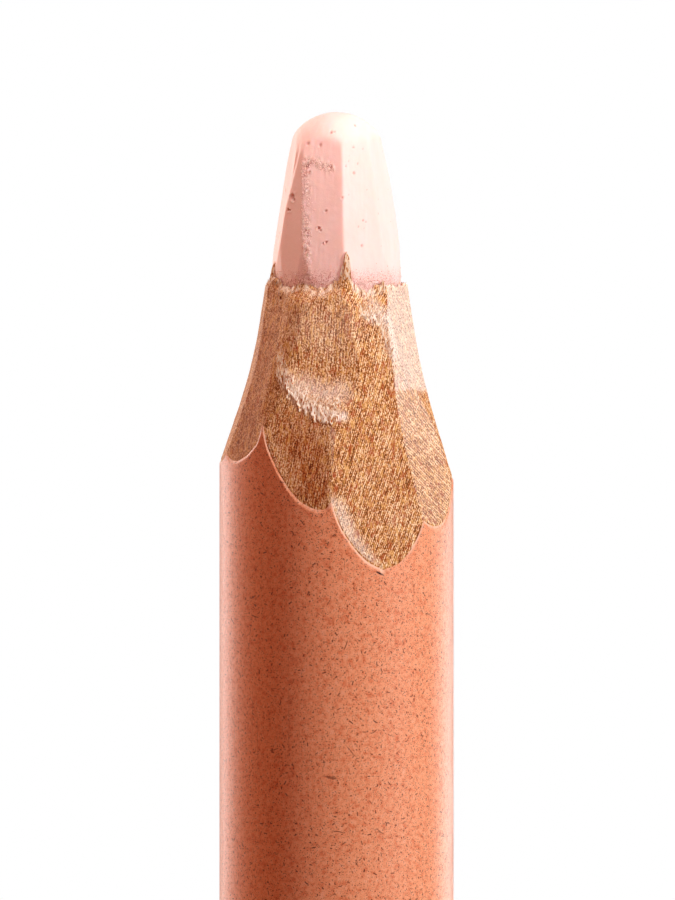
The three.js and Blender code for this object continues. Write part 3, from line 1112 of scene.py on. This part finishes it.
# %% [markdown]
# ## Pigment
# Coloured cores are pigment and chalk in wax, extruded and never fired. The surface is matt, and light
# goes a little way into it, which softens the shading. Pits and the hollows between crumbs look darker,
# because light is caught in them, and a darker dust lies along the wood.

# %% Pigment material
PIGMENT = linear("#f9d4cd")
PIGMENT_DEEP = linear("#f2c6b8")
PIGMENT_CRUMB = linear("#fde2d6")
PIGMENT_DUST = linear("#b9604c")
PIT_SHADE = linear("#b4553c")
PIGMENT_CLOUD = (0.5, 0.5, 1.4)
PIGMENT_GRIT = (0.04, 0.04, 0.04)

pigment, tree, shader, place = new_material("wax_bound_pigment")
cloud = noise(place, PIGMENT_CLOUD, 3.0)
grit = noise(place, PIGMENT_GRIT, 2.0)
crumble_mark = mark(tree, "crumble")
colour = blend(between(cloud, 0.35, 0.75, 0.35), PIGMENT, PIGMENT_DEEP)
colour = blend(compute("MULTIPLY", crumble_mark, 0.6), colour, PIGMENT_CRUMB)
dust_share = compute("MULTIPLY", between(grit, 0.5, 0.6, 0.8), mark(tree, "dust"))
colour = blend(dust_share, colour, PIGMENT_DUST)
hollow_share = compute("MULTIPLY", between(grit, 0.5, 0.4, 0.65), crumble_mark)
colour = blend(hollow_share, colour, PIT_SHADE)
colour = blend(compute("MULTIPLY", mark(tree, "pit"), 0.5), colour, PIT_SHADE)
paint([core, crumbs_piece], pigment, shader, {
    "Base Color": colour, "Roughness": 0.6, "IOR": 1.45, "Specular IOR Level": 0.3,
    "Subsurface Weight": 0.35, "Subsurface Radius": (1.0, 0.45, 0.3), "Subsurface Scale": 0.3 * MM,
}, height=grit, depth=0.006, strength=0.35)

# %% [markdown]
# ## Lacquer with flecks
# Pencils get many thin coats of cellulose lacquer, dried between passes. This one has dark hair-like
# flecks in it. A fleck is drawn in every cell of a flat Voronoi pattern that is wrapped round the barrel:
# each cell has its own random numbers, which give its fleck an angle, a length and a strength. Six layers
# with cells from 0.06 to 0.9 mm give dots, dashes and hairs. The scratches are listed one by one.

# %% Flecks
# Cell and half width in millimetres, longest half length in cells, and the share of cells left empty.
FLECK_LAYERS = [
    (0.060, 0.013, 0.17, 0.34),
    (0.090, 0.013, 0.22, 0.36),
    (0.13, 0.019, 0.18, 0.42),
    (0.20, 0.018, 0.27, 0.46),
    (0.34, 0.017, 0.28, 0.54),
    (0.90, 0.014, 0.24, 0.58),
]
LAYER_SHIFT = (0.37, 0.53)
FLECK_BEND = 0.5

lacquer, tree, shader, place = new_material("cellulose_lacquer")
parts = add_node(tree, "ShaderNodeSeparateXYZ", {0: place}).outputs
turn = compute("ARCTAN2", parts["X"], compute("MULTIPLY", parts["Y"], -1.0))
arc = compute("MULTIPLY", turn, barrel_radius * MM)
wrapped = add_node(tree, "ShaderNodeCombineXYZ", {"X": arc, "Y": parts["Z"]}).outputs[0]


def fleck_layer(start, cell, half_width, longest, absent):
    """How dark a layer of flecks is, with one fleck or none in each cell."""
    spread = in_units(wrapped, (cell,) * 3, start=start)
    cells = add_node(tree, "ShaderNodeTexVoronoi", {
        "Vector": spread, "Scale": 1.0, "Randomness": 1.0}, voronoi_dimensions="2D").outputs
    luck = add_node(tree, "ShaderNodeSeparateColor", {0: cells["Color"]}).outputs
    offset = add_node(tree, "ShaderNodeVectorMath", {0: spread, 1: cells["Position"]}, operation="SUBTRACT")
    angle = compute("MULTIPLY", luck[0], 2 * math.pi)
    turned = add_node(tree, "ShaderNodeVectorRotate", {
        "Vector": offset.outputs[0], "Angle": angle}, rotation_type="Z_AXIS")
    axes = add_node(tree, "ShaderNodeSeparateXYZ", {0: turned.outputs[0]}).outputs
    square = compute("MULTIPLY", axes["X"], axes["X"])
    aside = compute("ABSOLUTE", compute("MULTIPLY_ADD", square, FLECK_BEND, axes["Y"]))
    thin = between(aside, 1.5 * half_width / cell, 0.5 * half_width / cell)
    left = compute("SUBTRACT", compute("MULTIPLY", luck[1], longest), compute("ABSOLUTE", axes["X"]))
    drawn = compute("MULTIPLY", thin, between(left, 0.0, 0.06))
    return compute("MULTIPLY", drawn, between(luck[2], absent, absent + 0.4, 0.95))


dark_marks = [
    fleck_layer((k * LAYER_SHIFT[0], k * LAYER_SHIFT[1], 0), *layer) for k, layer in enumerate(FLECK_LAYERS)
]
print(f"layers of flecks: {len(dark_marks)}")

# %% Scratches
# Azimuth, depth below the tip, angle, length, width and strength of each scratch.
SCRATCHES = [
    (-2.7, 22.67, -12, 0.55, 0.11, 0.6), (6.6, 21.74, -50, 0.53, 0.035, 0.7),
    (1.2, 20.34, 30, 0.2, 0.04, 0.7), (21.8, 15.75, -22, 0.34, 0.08, 1.0),
    (6.1, 23.93, 0, 0.1, 0.09, 0.7), (-6.1, 22.15, 20, 0.13, 0.07, 0.7),
    (-60.2, 21.0, 90, 3.2, 0.022, 0.4), (-45.6, 20.6, 89, 2.6, 0.022, 0.4),
    (-42.2, 21.3, 91, 3.0, 0.022, 0.4), (130, 24.0, 60, 1.4, 0.03, 0.5),
    (200, 28.0, -35, 0.9, 0.04, 0.6), (255, 20.5, 85, 2.2, 0.025, 0.5),
]
SCRATCH_ROUGHNESS = (0.1, 0.1, 0.1)

rough = noise(place, SCRATCH_ROUGHNESS, 2.0)


def scratch(azimuth, below, angle, length, width, strength):
    """How dark one scratch is. Its place is an azimuth in degrees and a depth below the tip."""
    start = (math.radians(azimuth) * barrel_radius, stub_length - below, 0)
    beside = in_units(wrapped, (length / 2, width / 2, 1), (0, 0, math.radians(angle)), start)
    away = add_node(tree, "ShaderNodeVectorMath", {0: beside}, operation="LENGTH").outputs["Value"]
    return between(compute("MULTIPLY_ADD", rough, 1.2, away), 1.6, 1.2, strength)


dark_marks += [scratch(*values) for values in SCRATCHES]
dark_share = dark_marks[0]
for other in dark_marks[1:]:
    dark_share = compute("MAXIMUM", dark_share, other)
print(f"scratches: {len(SCRATCHES)}")

# %% Lacquer material
LACQUER = linear("#f2a176")
LACQUER_DEEP = linear("#d66d42")
LACQUER_PALE = linear("#f6b99e")
LACQUER_LIP = linear("#f3c3a6")
LACQUER_GLINT = linear("#ffc6a6")
LACQUER_SHEEN = linear("#fff4ee")
FLECK = linear("#3a0e04")
MOTTLE = (0.14, 0.14, 0.14)
RUBBED_STREAK = (0.09, 9, 1)
LACQUER_GRIT = (0.03, 0.03, 0.03)

mottle = noise(place, MOTTLE, 4.0)
streak = noise(wrapped, RUBBED_STREAK, 2.0, noise_dimensions="2D")
grit = noise(place, LACQUER_GRIT, 2.0)
colour = blend(between(mottle, 0.48, 0.7, 0.8), LACQUER, LACQUER_DEEP)
colour = blend(between(mottle, 0.44, 0.28, 0.4), colour, LACQUER_PALE)
colour = blend(between(streak, 0.68, 0.85, 0.3), colour, FLECK)
colour = blend(between(grit, 0.58, 0.72, 0.6), colour, FLECK)
# Painted glints: pale specks where the grit noise is low stand for tiny highlights off the bumpy lacquer.
colour = blend(between(grit, 0.42, 0.28, 0.6), colour, LACQUER_GLINT)
colour = blend(dark_share, colour, FLECK)
colour = blend(mark(tree, "lip"), colour, LACQUER_LIP)
paint([coat], lacquer, shader, {
    "Base Color": colour, "Roughness": 0.45, "IOR": 1.48, "Specular IOR Level": 0.1,
    "Sheen Weight": 1.0, "Sheen Roughness": 0.38, "Sheen Tint": LACQUER_SHEEN,
}, height=grit, depth=0.006, strength=0.8)

# %% [markdown]
# ## Stage, light and camera
# The pencil stands on a pale card in front of white. The card is a disc that fades out, so no horizon
# shows, and it covers the white only in part, so the shadow stays light. The world is white where the
# camera, a reflection or glass looks at it, and a dim warm fill for everything else. The lamps do the
# modelling: a large key from the right, two rims from behind, a warm lamp on the left, and a small one
# near the tip. The right rim has a narrow spread and is aimed low, so it lights the barrel's edge and
# spares the pale core.

# %% Floor and world
FLOOR_RADIUS = 70
FLOOR_SIDES = 96
FLOOR_COVER = 0.35
FADE_FROM = 0.35
FADE_TO = 0.98
FLOOR = linear("#e8f1f6")
FILL = linear("#ff8a42")
FILL_STRENGTH = 0.26
WHITE = (1, 1, 1, 1)

floor_mesh = bpy.data.meshes.new("floor")
floor_points = (on_pencil(FLOOR_RADIUS, full_turn(FLOOR_SIDES), 0.0) * MM).tolist()
floor_mesh.from_pydata(floor_points, [], [tuple(range(FLOOR_SIDES))])
floor = bpy.data.objects.new("floor", floor_mesh)
bpy.context.collection.objects.link(floor)
floor_card, tree, shader, place = new_material("matt_white_card")
distance = add_node(tree, "ShaderNodeVectorMath", {0: place}, operation="LENGTH").outputs["Value"]
fade = between(distance, FADE_FROM * FLOOR_RADIUS * MM, FADE_TO * FLOOR_RADIUS * MM, 0.0, FLOOR_COVER,
               interpolation_type="SMOOTHSTEP")
set_inputs(shader, {"Base Color": FLOOR, "Roughness": 0.9, "Alpha": fade})
floor_mesh.materials.append(floor_card)

world = bpy.data.worlds.new("studio")
bpy.context.scene.world = world
world.use_nodes = True
tree = world.node_tree
tree.nodes.clear()
path = add_node(tree, "ShaderNodeLightPath").outputs
seen = compute("MAXIMUM", path["Is Camera Ray"], path["Is Glossy Ray"])
seen = compute("MAXIMUM", seen, path["Is Transmission Ray"])
fill = add_node(tree, "ShaderNodeBackground", {"Color": FILL, "Strength": FILL_STRENGTH})
white = add_node(tree, "ShaderNodeBackground", {"Color": WHITE, "Strength": 1.0})
mixed = add_node(tree, "ShaderNodeMixShader", {0: seen, 1: fill.outputs[0], 2: white.outputs[0]})
add_node(tree, "ShaderNodeOutputWorld", {"Surface": mixed.outputs[0]})
print(f"floor {2 * FLOOR_RADIUS} mm across, fill {FILL_STRENGTH}")

# %% Lamps
# Azimuth, climb, distance, height aimed at, size, spread, watts and colour, in degrees and millimetres.
LAMPS = {
    "key_right": (63, 8, 230, 33, (60, 90), 180, 0.52, "#f2faff"),
    "rim_right": (140, 0, 230, 6, (100, 60), 20, 0.0075, "#ffffff"),
    "side_left": (-119, 8, 230, 33, (80, 140), 180, 0.19, "#ffccaa"),
    "rim_left": (-141, 8, 230, 33, (100, 140), 180, 0.33, "#ffffff"),
    "tip": (12, 60, 22, 41.5, (13, 13), 180, 0.0048, "#fff2f0"),
}
for name, (azimuth, climb, distance, target_height, size, spread, power, colour) in LAMPS.items():
    lamp = bpy.data.lights.new(name, "AREA")
    lamp.shape = "RECTANGLE"
    lamp.size = size[0] * MM
    lamp.size_y = size[1] * MM
    lamp.spread = math.radians(spread)
    lamp.energy = power
    lamp.color = linear(colour)[:3]
    holder = bpy.data.objects.new(name, lamp)
    level = distance * math.cos(math.radians(climb))
    height = distance * math.sin(math.radians(climb))
    spot = on_pencil(level, math.radians(azimuth), height) * MM
    target = Vector((0, 0, target_height)) * MM
    holder.location = target + Vector(spot)
    holder.rotation_mode = "QUATERNION"
    holder.rotation_quaternion = (target - holder.location).to_track_quat("-Z", "Y")
    bpy.context.collection.objects.link(holder)
print("lamps:", list(LAMPS))

# %% [markdown]
# The photograph was taken with a long lens, level with the pencil: the barrel's edges run parallel. The
# camera stands half a metre off, and its lens is worked out from the height of the picture in
# millimetres at the pencil.

# %% Camera
PIXELS_PER_MM = 29.25
PICTURE_WIDE = 675
PICTURE_HIGH = 900
TIP_ROW = 112
AXIS_COLUMN = 336.5
CAMERA_DISTANCE = 500
SENSOR = 36

camera_data = bpy.data.cameras.new("camera")
camera_data.sensor_fit = "AUTO"
camera_data.sensor_width = SENSOR
camera_data.lens = SENSOR * CAMERA_DISTANCE * PIXELS_PER_MM / PICTURE_HIGH
camera_data.clip_start = 0.01
camera_data.clip_end = 10
camera = bpy.data.objects.new("camera", camera_data)
bpy.context.collection.objects.link(camera)
camera_aside = (PICTURE_WIDE / 2 - AXIS_COLUMN) / PIXELS_PER_MM
camera_height = stub_length - (PICTURE_HIGH / 2 - TIP_ROW) / PIXELS_PER_MM
camera.location = Vector((camera_aside, -CAMERA_DISTANCE, camera_height)) * MM
camera.rotation_euler = (math.pi / 2, 0, 0)
bpy.context.scene.camera = camera
bpy.context.scene.view_settings.view_transform = "Standard"
print(f"lens {camera_data.lens:.0f} mm")

# %% Update the view layer
bpy.context.view_layer.update()
